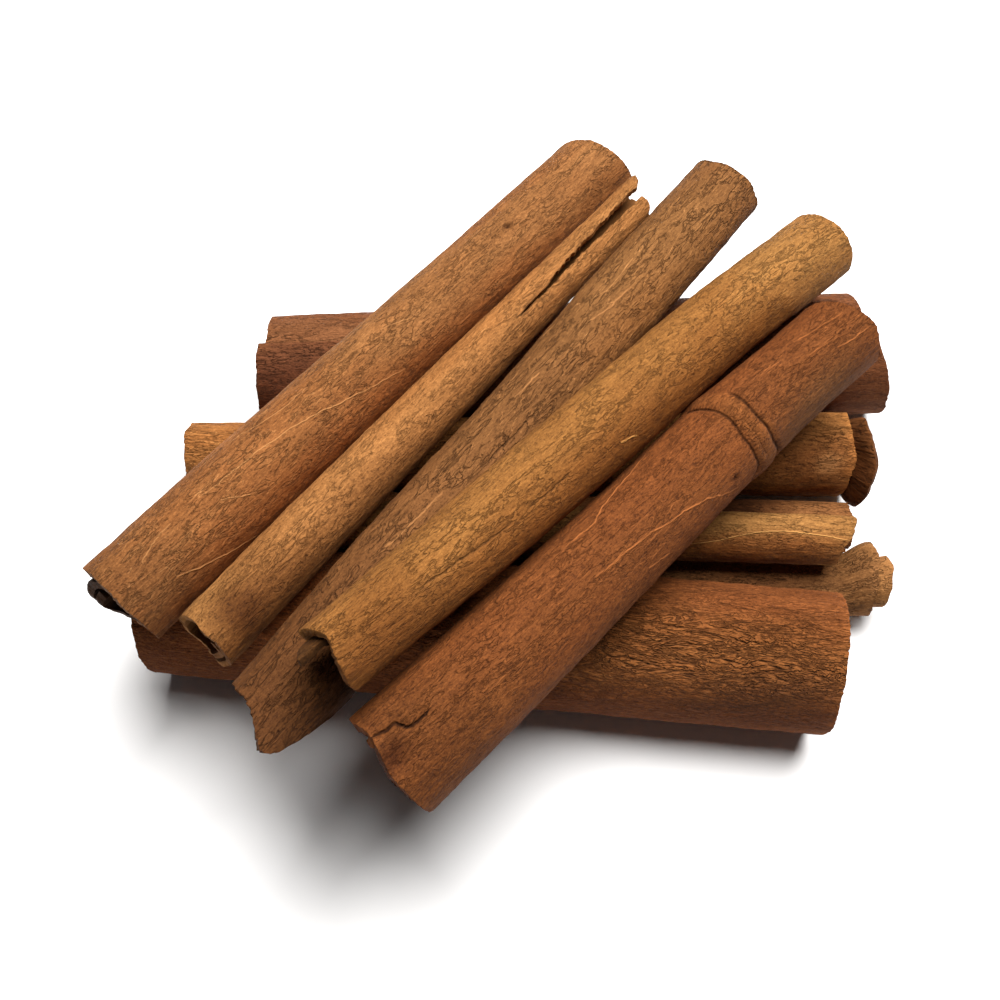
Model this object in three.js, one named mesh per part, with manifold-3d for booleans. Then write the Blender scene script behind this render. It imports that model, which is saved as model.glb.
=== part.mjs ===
import * as THREE from "three";
import { mergeVertices } from "three/addons/utils/BufferGeometryUtils.js";
import manifoldModule from "manifold-3d";

// A pile of cinnamon sticks: five lie side by side on the ground, one lies on top of them in
// the furrow between two, and five more lie across.
// Millimetres and degrees. X runs along the ground sticks, Y to the back, Z up.
// Each stick is one strip of dried bark, rolled up along its length.
// Section angles are seen from the end of the stick: 0 is its left side (the back side of a
// ground stick), 90 its top, 180 its right side and 270 its underside.

const wrapGap = 0.4; // air between one turn of bark and the next
const restDepth = 0.25; // worn off the underside of a ground stick, where it rests
const dipShare = 0.22; // part of a turn in which the bark dips under its own free edge
const shoulder = 135; // half angle of the round back of a double roll, before its edges curl in
const curlShare = 0.39; // size of an inward curl, as a share of the stick's radius
const curlTurn = 290; // how far an inward curl goes round
const curlTightening = 0.35; // share of its radius that a curl loses on the way in

// start, end: middle of each end [x, y], or [x, y, z] where the stick lies on others.
// radii: outer radius at equal steps along the stick. sway: sideways shift at equal steps.
// bark: thickness. turns: how often it is rolled, and 0 for a double roll. seam: angle of the
// free edge, or of the groove of a double roll. hand: 1 rolls inwards with growing angle.
// columns, rows: facets across and along the strip.
// Each end: lean (top longer than underside) and swing (left longer than right), both as a
// share of the radius, ragged: height of its teeth, shift: length added turn by turn.
// flare: how an end widens, from a share of the length. ring: a raised band round the stick.
// tongue: a longer or, below 0, shorter bit of the start. crack: a split open at the end.
// color: of the bark.
const sticks = [
  {
    name: "front_thick_stick",
    start: [-43.03, -15.09],
    end: [35.37, -22.54],
    radii: [7.9, 8.05, 8.15, 8.25, 8.3],
    sway: [0, 0],
    bark: 1.5,
    turns: 0,
    seam: -25,
    hand: 1,
    columns: 32,
    rows: 8,
    startCut: { lean: 0.1, swing: 0, ragged: 0.25, shift: 0 },
    endCut: { lean: 0.06, swing: 0.03, ragged: 0.2, shift: 0 },
    waviness: 0.012,
    seed: 1,
    color: 0x7c4a2e,
  },
  {
    name: "back_thick_stick",
    start: [-33.13, 18.91],
    end: [45.07, 20.91],
    radii: [7.15, 7.4, 7.7, 7.95, 8.05],
    sway: [0, 0],
    bark: 1.3,
    turns: 2.35,
    seam: 96,
    hand: 1,
    columns: 34,
    rows: 7,
    startCut: { lean: 0, swing: -0.1, ragged: 0.2, shift: -0.4 },
    endCut: { lean: -0.12, swing: -0.22, ragged: 0.2, shift: -0.5 },
    waviness: 0.012,
    seed: 2,
    color: 0x6e3d27,
  },
  {
    name: "back_middle_stick",
    start: [-42.53, 7.44],
    end: [40.87, 6.99],
    radii: [4.3, 4.55, 5.0, 5.3, 5.4],
    sway: [0, 0],
    bark: 0.8,
    turns: 1.9,
    seam: 265,
    hand: -1,
    columns: 24,
    rows: 9,
    flare: { from: 0.975, inner: 1, radius: 1.5, left: -2.0, up: 0 },
    startCut: { lean: 0, swing: 0, ragged: 0.2, shift: -0.6 },
    endCut: { lean: 0.1, swing: 0, ragged: 0.3, shift: 1.6 },
    waviness: 0.015,
    seed: 3,
    color: 0x9a6237,
  },
  {
    name: "middle_thin_stick",
    start: [-37.23, -0.09],
    end: [41.0, -2.55],
    radii: [2.9, 3.1, 3.2, 3.3, 3.3],
    sway: [0, 0],
    bark: 0.85,
    turns: 1.35,
    seam: 230,
    hand: 1,
    columns: 20,
    rows: 7,
    startCut: { lean: 0, swing: 0, ragged: 0.3, shift: 0 },
    endCut: { lean: 0, swing: 0, ragged: 0.3, shift: 0 },
    waviness: 0.01,
    seed: 4,
    color: 0x8a5833,
  },
  {
    name: "front_middle_stick",
    start: [-34.73, -6.19],
    end: [42.27, -11.09],
    radii: [2.8, 3.0, 3.2, 3.4, 3.5],
    sway: [0, 0],
    bark: 0.85,
    turns: 1.75,
    seam: 200,
    hand: -1,
    columns: 24,
    rows: 9,
    flare: { from: 0.94, inner: 0.46, radius: 1.94, left: 1.3, up: 1.2 },
    startCut: { lean: 0, swing: 0, ragged: 0.3, shift: 0 },
    endCut: { lean: 0, swing: 0, ragged: 0.35, shift: 2.1 },
    waviness: 0.01,
    seed: 5,
    color: 0x7f5334,
  },
  {
    name: "veined_thin_stick",
    start: [-40.13, -4.39, 9.2],
    end: [38.3, -7.89, 10.4],
    radii: [2.9, 3.0, 3.0, 3.05, 3.0],
    sway: [0, 0],
    bark: 0.8,
    turns: 1.3,
    seam: 250,
    hand: -1,
    columns: 20,
    rows: 7,
    startCut: { lean: 0, swing: 0, ragged: 0.3, shift: 0 },
    endCut: { lean: 0.2, swing: 0.35, ragged: 0.3, shift: 0 },
    waviness: 0.01,
    seed: 6,
    color: 0x9c6639,
  },
  {
    name: "crossing_left_stick",
    start: [-43.03, -21.19, 22.2],
    end: [9.57, 41.91, 19.0],
    radii: [5.5, 5.4, 5.15, 5.05, 5.2],
    sway: [0.1, 0.3, 0.3, 0.2, 0],
    bark: 1.1,
    turns: 2.3,
    seam: 285,
    hand: 1,
    columns: 34,
    rows: 10,
    tongue: { angle: 330, spread: 60, length: 1.7, inner: true },
    startCut: { lean: 0.16, swing: -0.04, ragged: 0.12, shift: 0 },
    endCut: { lean: 0, swing: -0.26, ragged: 0.15, shift: -0.5 },
    waviness: 0.012,
    seed: 7,
    color: 0x85563a,
  },
  {
    name: "crossing_split_stick",
    start: [-33.71, -25.3, 21.5],
    end: [14.0, 36.4, 20.7],
    radii: [3.75, 3.6, 3.35, 2.93, 2.75],
    sway: [0.17, 0.05, -0.28, -0.6, -1.1],
    bark: 0.8,
    turns: 1.4,
    seam: 275,
    hand: -1,
    columns: 24,
    rows: 12,
    crack: { angle: 106, length: 24, width: 1.4, turned: 1.8 },
    startCut: { lean: -0.03, swing: -0.03, ragged: 0.2, shift: 0 },
    endCut: { lean: 0, swing: 0.5, ragged: 0.6, shift: -0.6 },
    waviness: 0.015,
    seed: 8,
    color: 0xa56e3f,
  },
  {
    name: "crossing_rough_stick",
    start: [-23.93, -29.79, 22.2],
    end: [25.37, 37.31, 20.5],
    radii: [5.4, 5.0, 4.75, 5.2, 5.1],
    sway: [-0.8, 0, -0.2, -0.35, -0.7],
    bark: 1.0,
    turns: 1.4,
    seam: 235,
    hand: 1,
    columns: 24,
    rows: 12,
    tongue: { angle: 132, spread: 39, length: 7.2, inner: false },
    startCut: { lean: 0.73, swing: 0.6, ragged: 0.3, shift: 0 },
    endCut: { lean: 0, swing: 0, ragged: 0.3, shift: -0.4 },
    waviness: 0.02,
    seed: 9,
    color: 0x7f5436,
  },
  {
    name: "crossing_upper_stick",
    start: [-19.93, -32.39, 32.1],
    end: [37.17, 29.11, 19.6],
    radii: [4.2, 4.65, 4.85, 4.85, 4.85],
    sway: [0.1, -0.1, 0, 0.2, -0.6],
    bark: 0.9,
    turns: 1.5,
    seam: 250,
    hand: 1,
    columns: 24,
    rows: 11,
    tongue: { angle: 80, spread: 66, length: -6.1, inner: false },
    startCut: { lean: 1.1, swing: 0.1, ragged: 0.35, shift: -1.5 },
    endCut: { lean: 0, swing: 0, ragged: 0.15, shift: -0.5 },
    waviness: 0.012,
    seed: 10,
    color: 0xa8713f,
  },
  {
    name: "crossing_ringed_stick",
    start: [-13.33, -39.09, 24.2],
    end: [37.97, 14.91, 20.2],
    radii: [6.1, 5.98, 5.85, 5.68, 5.5, 5.45, 5.4, 5.15, 5.2],
    sway: [0, -0.1, 0, 0.3, -0.3],
    bark: 1.2,
    turns: 0,
    seam: 265,
    hand: 1,
    columns: 32,
    rows: 12,
    ring: { at: 0.72, width: 0.022, height: 0.3 },
    tongue: { angle: 74, spread: 24, length: -1.2, inner: false },
    startCut: { lean: 0.38, swing: -0.13, ragged: 0.2, shift: 0 },
    endCut: { lean: 0.1, swing: -0.2, ragged: 0.4, shift: 0 },
    waviness: 0.015,
    seed: 11,
    color: 0x8c5233,
  },
];

const manifold = await manifoldModule();
manifold.setup();

const { degToRad, lerp, smoothstep } = THREE.MathUtils;
const up = new THREE.Vector3(0, 0, 1);

// A smooth run through values set at equal steps.
function smoothRun(values) {
  const last = values.length - 1;
  const points = values.map((value, i) => new THREE.Vector2(i / last, value));
  const curve = new THREE.SplineCurve(points);
  return (t) => curve.getPoint(t).y;
}

// Slow waves round and along a stick, between -1 and 1.
function waves(angle, t, seed) {
  const twoLobes = Math.cos(2 * angle + seed);
  const threeLobes = Math.cos(3 * angle + 2 * seed + 5 * t);
  const along = Math.sin(9 * t + 1.7 * seed);
  return 0.45 * twoLobes + 0.3 * threeLobes + 0.25 * along;
}

// The teeth of a broken end, between -1 and 1.
function teeth(angle, seed) {
  return 0.5 * Math.sin(3 * angle + seed) + 0.3 * Math.sin(5 * angle + 2.3 * seed)
    + 0.2 * Math.sin(8 * angle + 3.1 * seed);
}

// Where the strip lies in the section of a single roll: share is 0 at the outer edge.
function singleRoll(stick, share, depth, radius) {
  const turn = share * stick.turns;
  const whole = Math.floor(turn);
  const wraps = whole + smoothstep(turn - whole, 1 - dipShare, 1);
  const angle = degToRad(stick.seam + stick.hand * 360 * turn);
  const outer = radius - wraps * (stick.bark + wrapGap) - depth * stick.bark;
  return { angle, turn, x: outer * Math.cos(angle), y: outer * Math.sin(angle) };
}

// The same for a double roll, whose two edges curl inwards on both sides of a groove.
function doubleRoll(stick, share, depth, radius) {
  const reach = (share - 0.5) * 2 * (shoulder + curlTurn);
  const round = Math.min(Math.abs(reach), shoulder) * Math.sign(reach);
  const curled = Math.max(Math.abs(reach) - shoulder, 0) / curlTurn;
  const middle = degToRad(stick.seam + 180 + round);
  const angle = degToRad(stick.seam + 180 + reach);
  const curlRadius = curlShare * radius;
  const offset = curled > 0 ? radius - curlRadius : 0;
  const outer = (curled > 0 ? curlRadius * (1 - curlTightening * curled) : radius)
    - depth * stick.bark;
  return {
    angle,
    turn: 0,
    x: offset * Math.cos(middle) + outer * Math.cos(angle),
    y: offset * Math.sin(middle) + outer * Math.sin(angle),
  };
}

// How far an end reaches past its middle at one place of the section.
function endReach(cut, seed, place) {
  return cut.lean * place.y + cut.swing * place.x + cut.ragged * teeth(place.angle, seed)
    + cut.shift * smoothstep(place.turn, 0.75, 1.1);
}

// A longer tongue of bark at the start of a stick, or a notch where its length is negative, on
// its outer turn or on its inner ones.
function tongueReach(tongue, place) {
  const off = THREE.MathUtils.euclideanModulo(place.angle - degToRad(tongue.angle) + Math.PI,
    2 * Math.PI) - Math.PI;
  const outer = place.turn < 1 ? 1 : 0;
  const part = tongue.inner ? smoothstep(place.turn, 0.75, 1.1) : outer;
  return part * tongue.length * Math.exp(-((off / degToRad(tongue.spread)) ** 2));
}

// A closed geometry as a solid that can be cut.
function solidOf(geometry) {
  const shape = new THREE.BufferGeometry();
  shape.setAttribute("position", geometry.getAttribute("position"));
  shape.setIndex(geometry.index);
  const merged = mergeVertices(shape, 1e-4);
  return new manifold.Manifold(new manifold.Mesh({
    numProp: 3,
    vertProperties: merged.getAttribute("position").array,
    triVerts: new Uint32Array(merged.index.array),
  }));
}

// A crack that opens towards the far end, through the outer turn of bark only.
function cutCrack(geometry, stick, axes, length, radiusAt) {
  const { crack, bark } = stick;
  const radius = radiusAt(1 - crack.length / length);
  const wedge = new THREE.Shape();
  wedge.moveTo(0, 0);
  wedge.lineTo(crack.length * 0.45, -crack.width * 0.1);
  wedge.lineTo(crack.length + 3, -crack.width * 0.5);
  wedge.lineTo(crack.length + 3, crack.width * 0.55);
  wedge.lineTo(crack.length * 0.55, crack.width * 0.28);
  const cutter = new THREE.ExtrudeGeometry(wedge, { depth: 3 * bark, bevelEnabled: false });
  cutter.rotateZ(degToRad(crack.turned));
  cutter.rotateY(Math.atan((radius - radiusAt(1)) / crack.length));
  cutter.translate(length - crack.length, 0, radius - 1.5 * bark);
  cutter.rotateX(degToRad(crack.angle - 90));
  cutter.applyMatrix4(new THREE.Matrix4().makeBasis(axes.forward, axes.left, axes.above));
  cutter.translate(axes.start.x, axes.start.y, axes.start.z);
  const cut = solidOf(geometry).subtract(solidOf(cutter)).getMesh();
  const result = new THREE.BufferGeometry();
  result.setAttribute("position", new THREE.BufferAttribute(cut.vertProperties, 3));
  result.setIndex(new THREE.BufferAttribute(cut.triVerts, 1));
  return result;
}

function makeStick(stick) {
  const radiusAt = smoothRun(stick.radii);
  const swayAt = smoothRun(stick.sway);
  const onGround = stick.start.length === 2;
  const start = new THREE.Vector3(stick.start[0], stick.start[1], stick.start[2] ?? 0);
  const end = new THREE.Vector3(stick.end[0], stick.end[1], stick.end[2] ?? 0);
  const length = start.distanceTo(end);
  const forward = end.clone().sub(start).normalize();
  const left = up.clone().cross(forward).normalize();
  const above = forward.clone().cross(left);
  const roll = stick.turns > 0 ? singleRoll : doubleRoll;
  const flare = stick.flare ?? { from: 1, inner: 0, radius: 0, left: 0, up: 0 };
  const ring = stick.ring ?? { at: 0, width: 1, height: 0 };

  let geometry = new THREE.BoxGeometry(1, 1, 1, stick.columns, 1, stick.rows);
  const position = geometry.getAttribute("position");
  for (let i = 0; i < position.count; i += 1) {
    const column = Math.round((position.getX(i) + 0.5) * stick.columns) / stick.columns;
    const share = stick.hand > 0 ? 1 - column : column;
    const depth = position.getY(i) > 0 ? 0 : 1;
    const row = Math.round((position.getZ(i) + 0.5) * stick.rows) / stick.rows;
    const t = 0.5 - 0.5 * Math.cos(Math.PI * row);

    const { turn, angle } = roll(stick, share, depth, radiusAt(t));
    const outerShare = lerp(1 - flare.inner, flare.inner, smoothstep(turn, 0.9, 1.15));
    const flared = smoothstep(t, flare.from, 1) * outerShare;
    const ringed = ring.height * Math.exp(-(((t - ring.at) / ring.width) ** 2));
    const radius = radiusAt(t) * (1 + stick.waviness * waves(angle, t, stick.seed))
      + flare.radius * flared + ringed;
    const place = roll(stick, share, depth, radius);

    const tongue = stick.tongue ? tongueReach(stick.tongue, place) : 0;
    const before = endReach(stick.startCut, stick.seed, place) + tongue;
    const beyond = endReach(stick.endCut, stick.seed + 4, place);
    const distance = lerp(-before, length + beyond, t);
    const point = start.clone().addScaledVector(forward, distance);
    point.addScaledVector(left, place.x + swayAt(t) + flare.left * flared);
    point.addScaledVector(above, place.y);
    if (onGround) {
      const height = point.z + radiusAt(t) - restDepth + (flare.radius + flare.up) * flared;
      point.z = Math.max(height, depth * stick.bark);
    }
    position.setXYZ(i, point.x, point.y, point.z);
  }
  if (stick.crack) {
    geometry = cutCrack(geometry, stick, { start, forward, left, above }, length, radiusAt);
  }
  geometry.computeVertexNormals();

  const mesh = new THREE.Mesh(geometry, new THREE.MeshStandardMaterial({
    color: stick.color,
    roughness: 0.8,
    metalness: 0,
  }));
  mesh.name = stick.name;
  return mesh;
}

const pile = new THREE.Group();
sticks.forEach((stick) => pile.add(makeStick(stick)));

// The origin is under the middle of the pile, on the ground.
const bounds = new THREE.Box3().setFromObject(pile);
const middle = bounds.getCenter(new THREE.Vector3());
pile.children.forEach((mesh) => mesh.geometry.translate(-middle.x, -middle.y, -bounds.min.z));

export default pile;
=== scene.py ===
import math

import bpy
import numpy as np
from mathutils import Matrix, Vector


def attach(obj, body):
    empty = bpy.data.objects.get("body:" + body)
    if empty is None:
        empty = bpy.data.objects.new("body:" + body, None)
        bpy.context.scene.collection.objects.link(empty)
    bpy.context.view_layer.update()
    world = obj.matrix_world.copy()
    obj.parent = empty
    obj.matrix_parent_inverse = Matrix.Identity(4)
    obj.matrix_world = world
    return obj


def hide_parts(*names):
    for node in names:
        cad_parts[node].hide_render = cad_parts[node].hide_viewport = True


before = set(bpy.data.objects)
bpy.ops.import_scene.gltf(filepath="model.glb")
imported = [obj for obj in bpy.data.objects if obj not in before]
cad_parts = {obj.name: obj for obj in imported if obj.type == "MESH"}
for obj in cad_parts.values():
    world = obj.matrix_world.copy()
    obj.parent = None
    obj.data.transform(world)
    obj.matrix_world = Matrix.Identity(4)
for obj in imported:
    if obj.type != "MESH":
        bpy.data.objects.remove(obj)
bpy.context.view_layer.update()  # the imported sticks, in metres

mm = 0.001


class Wire:  # one output of a node, which works in plain arithmetic
    def __init__(self, board, socket):
        self.board = board
        self.socket = socket

    def maths(self, operation, *values):
        return self.board.node("ShaderNodeMath", {"operation": operation}, dict(enumerate(values)))

    def __add__(self, other):
        return self.maths("ADD", self, other)

    def __sub__(self, other):
        return self.maths("SUBTRACT", self, other)

    def __rsub__(self, other):
        return self.maths("SUBTRACT", other, self)

    def __mul__(self, other):
        return self.maths("MULTIPLY", self, other)

    def __abs__(self):
        return self.maths("ABSOLUTE", self)

    __radd__ = __add__
    __rmul__ = __mul__


class Board:  # one material and its nodes
    def __init__(self, name):
        self.material = bpy.data.materials.new(name)
        self.material.use_nodes = True
        self.tree = self.material.node_tree
        self.tree.nodes.clear()

    def node(self, kind, settings=None, inputs=None, output=0):
        made = self.tree.nodes.new(kind)
        for key, value in (settings or {}).items():
            setattr(made, key, value)
        for key, value in (inputs or {}).items():
            if isinstance(value, Wire):
                self.tree.links.new(value.socket, made.inputs[key])
            else:
                made.inputs[key].default_value = value
        return Wire(self, made.outputs[output]) if made.outputs else made

    def place(self, across, along, shift=0.0):  # the strip's own centimetres, scaled both ways
        flat = self.node("ShaderNodeUVMap", {"uv_map": "strip"})
        return self.node("ShaderNodeVectorMath", {"operation": "MULTIPLY_ADD"},
                         {0: flat, 1: (across, along, 1.0), 2: (shift, 0.37 * shift, shift)})

    def noise(self, where, scale=1.0, detail=3.0, roughness=0.55, distortion=0.0):
        return self.node("ShaderNodeTexNoise", {"noise_dimensions": "3D"},
                         {"Vector": where, "Scale": scale, "Detail": detail,
                          "Roughness": roughness, "Distortion": distortion})

    def between(self, value, low, high):  # 0 below low, 1 above high, smooth in between
        return self.node("ShaderNodeMapRange", {"interpolation_type": "SMOOTHSTEP"},
                         {"Value": value, "From Min": low, "From Max": high})

    def line(self, value, middle, width):  # 1 where a value crosses its middle
        return 1 - self.between(abs(value - middle), 0.0, width)

    def blend(self, factor, first, second):  # of two colours
        return self.node("ShaderNodeMix", {"data_type": "RGBA"}, {0: factor, 6: first, 7: second}, 2)

    def tint(self, factor, colour, by):
        return self.node("ShaderNodeMix", {"data_type": "RGBA", "blend_type": "MULTIPLY"},
                         {0: factor, 6: colour, 7: by}, 2)

    def ramp(self, value, stops):  # of colours, each from its place on
        made = self.node("ShaderNodeValToRGB", None, {"Fac": value})
        elements = made.socket.node.color_ramp.elements
        for place, colour in stops[1:-1]:
            elements.new(place).color = colour
        elements[0].position, elements[0].color = stops[0]
        elements[-1].position, elements[-1].color = stops[-1]
        return made

    def attribute(self, name, output=2):
        return self.node("ShaderNodeAttribute", {"attribute_name": name}, None, output)

    def finish(self, colour, roughness, height, distance):
        bumped = self.node("ShaderNodeBump", None,
                           {"Strength": 1.0, "Distance": distance, "Height": height})
        surface = self.node("ShaderNodeBsdfPrincipled", None,
                            {"Base Color": colour, "Roughness": roughness, "Normal": bumped,
                             "Specular IOR Level": 0.1})
        self.node("ShaderNodeOutputMaterial", None, {"Surface": surface})
        return self.material


def rgb(red, green, blue):  # a colour given as it is seen, from 0 to 255
    def linear(value):
        value /= 255
        return value / 12.92 if value <= 0.04045 else ((value + 0.055) / 1.055) ** 2.4
    return (linear(red), linear(green), linear(blue), 1.0)


def tinted(colour, by, warmer=1.0):  # the same colour lighter or darker, and redder
    red, green, blue, _ = colour
    return (min(red * by * warmer, 1), min(green * by, 1), min(blue * by / warmer, 1), 1)


bark = {  # how strong each kind of mark in the bark is
    "grit": 1.5, "dust": 1.3, "fibre": 0.9, "blotch": 0.8, "creases": 0.6, "wrinkles": 0.6,
    "hairs": 0.4, "crackle": 0.0, "fineness": 1.0, "relief": 0.3,
    "drift": (0.86, 0.72, 0.62, 1), "drifting": 0.55,
}
grain = {  # repeats for each centimetre across and along the strip
    "drift": (0.9, 0.25), "blotch": (3.2, 1.1), "grit": (40.0, 16.0), "dust": (80.0, 45.0),
    "fibre": (50.0, 4.0), "crease": (8.0, 2.2), "wrinkle": (18.0, 5.0), "hair": (7.0, 0.7),
    "crackle": (2.4, 0.8), "innerPatch": (2.0, 0.8), "innerLine": (30.0, 2.2),
}
cutGrain = {"crumb": 2600.0, "lump": 700.0}  # repeats for each metre of a cut rim


def barkLook(colour, **changed):
    base = rgb(*colour)
    # pale also paints highlights beside creases and scale rims; crackShade is painted shade in cracks and
    # grooves
    shades = {"deep": tinted(base, 0.42, 1.08), "dark": tinted(base, 0.83, 1.04),
              "light": tinted(base, 1.14), "pale": tinted(base, 1.6, 0.97),
              "vein": tinted(base, 2.9, 0.92), "crackShade": tinted(base, 0.14)}
    return {**bark, **shades, **changed}


def outerBark(stick):
    look = stick["look"]
    seed = 3.1 * stick["seed"]
    board = Board(stick["name"] + "_bark")
    drift = board.noise(board.place(*grain["drift"], seed), 1.0, 3.0)
    blotch = board.noise(board.place(*grain["blotch"], seed), 1.0, 2.0, 0.45)
    grit = board.noise(board.place(*grain["grit"], seed), 1.0, 2.0, 0.6)
    dust = board.noise(board.place(*grain["dust"], seed), 1.0, 1.0, 0.6)
    fibre = board.noise(board.place(*grain["fibre"], seed), 1.0, 2.0)
    crease = board.noise(board.place(*grain["crease"], seed), look["fineness"], 4.0, 0.6, 0.5)
    wrinkle = board.noise(board.place(*grain["wrinkle"], seed + 3), look["fineness"], 3.0, 0.6, 0.6)
    hair = board.noise(board.place(*grain["hair"], seed + 7), 1.0, 2.0, 0.5, 0.6)

    tone = 0.5 + (grit - 0.5) * look["grit"] + (dust - 0.5) * look["dust"]
    tone = tone + (fibre - 0.5) * look["fibre"] + (blotch - 0.5) * look["blotch"]
    colour = board.ramp(tone, [(0.0, look["deep"]), (0.3, look["dark"]), (0.7, look["light"]),
                               (1.0, look["pale"])])
    colour = board.tint(board.between(drift, 0.4, 0.62) * look["drifting"], colour, look["drift"])

    rough = board.attribute("rough")
    # crease and wrinkle lines: painted shade in the lines (deep) and painted highlight beside them (pale
    # and glints), for the light on small folds; the same lines also dent the bump
    creasedArea = board.between(blotch, 0.42, 0.58) * rough
    shadedCreases = board.line(crease, 0.5, 0.022) * creasedArea * look["creases"]
    creaseHighlights = board.line(crease, 0.53, 0.026) * creasedArea * look["creases"]
    shadedWrinkles = board.line(wrinkle, 0.48, 0.045) * board.between(crease, 0.42, 0.58) * rough
    glints = board.line(wrinkle, 0.54, 0.04) * board.between(crease, 0.42, 0.58) * rough
    strands = board.line(hair, 0.5, 0.006) * board.between(drift, 0.48, 0.58) * look["hairs"]
    colour = board.blend(0.5 * creaseHighlights, colour, look["pale"])
    colour = board.blend(0.5 * glints * look["wrinkles"], colour, look["pale"])
    colour = board.blend(shadedWrinkles * look["wrinkles"], colour, look["deep"])
    colour = board.blend(shadedCreases, colour, look["deep"])
    colour = board.blend(strands, colour, look["vein"])
    height = 0.35 * grit + 0.2 * dust + 0.3 * fibre + 0.6 * blotch - 0.8 * shadedCreases - 0.5 * shadedWrinkles

    # painted highlight on the scale rims and painted shade in the fissures
    if look["crackle"]:  # a net of fissures between raised scales
        bent = board.node("ShaderNodeVectorMath", {"operation": "ADD"},
                          {0: board.place(*grain["crackle"], seed), 1: 1.8 * crease})
        edge = board.node("ShaderNodeTexVoronoi", {"feature": "DISTANCE_TO_EDGE"}, {"Vector": bent})
        scales = rough * look["crackle"]
        fissure = (1 - board.between(edge, 0.015, 0.1)) * scales * board.between(wrinkle, 0.36, 0.5)
        rim = board.line(edge, 0.16, 0.08) * scales
        colour = board.blend(0.45 * rim, colour, look["pale"])
        colour = board.blend(0.65 * fissure, colour, look["deep"])
        height = height + 1.2 * board.between(edge, 0.0, 0.25) * scales

    vein = board.attribute("vein") * board.line(board.attribute("veinSide"), 0.0, 0.19)
    # crack lines are painted dark: painted shade along cracks and grooves, which also dent the bump
    crack = board.attribute("crack") * board.line(board.attribute("crackSide"), 0.0, 0.2)
    colour = board.tint(1.0, colour, board.attribute("wash", 0))
    colour = board.blend(vein, colour, look["vein"])
    colour = board.blend(crack, colour, look["crackShade"])
    height = height + 0.5 * vein - 0.8 * crack
    return board.finish(colour, 0.7 + 0.25 * grit, height, look["relief"] * mm)


def innerBark(stick):
    look = stick["look"]
    board = Board(stick["name"] + "_inner_side")
    seed = 2.3 * stick["seed"]
    patch = board.noise(board.place(*grain["innerPatch"], seed), 2.0, 3.0)
    line = board.noise(board.place(*grain["innerLine"], seed), 1.0, 3.0)
    colour = board.blend(patch, look["deep"], look["dark"])
    colour = board.blend(board.between(line, 0.5, 0.8) * 0.4, colour, look["deep"])
    colour = board.tint(1.0, colour, board.attribute("wash", 0))
    return board.finish(colour, 0.62 + 0.15 * line, line, 0.2 * mm)


def cutBark(stick):
    look = stick["look"]
    board = Board(stick["name"] + "_cut")
    place = board.node("ShaderNodeTexCoord", None, None, 3)
    crumb = board.noise(place, cutGrain["crumb"], 3.0)
    lump = board.noise(place, cutGrain["lump"], 2.0)
    colour = board.blend(board.between(crumb, 0.35, 0.7), look["dark"], look["light"])
    colour = board.blend(board.between(lump, 0.45, 0.65) * 0.6, colour, look["deep"])
    colour = board.tint(1.0, colour, board.attribute("wash", 0))
    return board.finish(colour, 0.8 + 0.1 * crumb, crumb, 0.25 * mm)


roll = {  # millimetres and degrees, for every stick
    "wrapGap": 0.4, "restDepth": 0.25, "dipShare": 0.22,
    "shoulder": 135, "curlShare": 0.39, "curlTurn": 290, "curlTightening": 0.35,
    "innerSpacing": 2.0, "edgeRound": 0.12, "chips": 0.05, "splinters": 0.04,
    "ridgeSize": 0.11, "ridgeDepth": 0.14, "lumpSize": 0.5, "lumpDepth": 0.2,
    "evenLevel": 0.55, "bevelAngle": 55, "smoothAngle": 40,
    "wrapFrom": 0.75, "wrapFull": 1.1,  # in turns: where the inner turns of bark begin
    "flareFrom": 0.9, "flareFull": 1.15, "hiddenTurn": 1.08, "hiddenPast": 15,
    "sectionSteps": 4001, "chipRate": 1.9, "splinterRate": 8,
}


def smoothstep(value, low, high):
    share = np.clip((value - low) / (high - low), 0, 1)
    return share * share * (3 - 2 * share)


def mix(low, high, share):
    return low + (high - low) * share


def smoothRun(values, t):  # a smooth run through values set at equal steps
    values = np.array(values, float)
    last = len(values) - 1
    spot = np.clip(t, 0, 1) * last
    first = np.clip(np.floor(spot).astype(int), 0, last - 1)
    part = spot - first
    before, here = values[np.maximum(first - 1, 0)], values[first]
    there, after = values[first + 1], values[np.minimum(first + 2, last)]
    leave, arrive = (there - before) / 2, (after - here) / 2
    return ((2 * here - 2 * there + leave + arrive) * part ** 3
            + (-3 * here + 3 * there - 2 * leave - arrive) * part ** 2 + leave * part + here)


def waves(angle, t, seed):
    return (0.45 * np.cos(2 * angle + seed) + 0.3 * np.cos(3 * angle + 2 * seed + 5 * t)
            + 0.25 * np.sin(9 * t + 1.7 * seed))


def teeth(angle, seed):
    return (0.5 * np.sin(3 * angle + seed) + 0.3 * np.sin(5 * angle + 2.3 * seed)
            + 0.2 * np.sin(8 * angle + 3.1 * seed))


def jitter(place, seed):  # small waves along an edge, between about -1 and 1, always the same
    total = np.zeros_like(place)
    for k in range(1, 7):
        total += np.sin(place * (0.9 * k ** 1.45) + seed * (1.3 + 0.7 * k)) / k ** 0.6
    return total / 2.2


def doubleReach(share):  # degrees from the middle of a double roll's back
    return (share - 0.5) * 2 * (roll["shoulder"] + roll["curlTurn"])


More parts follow.
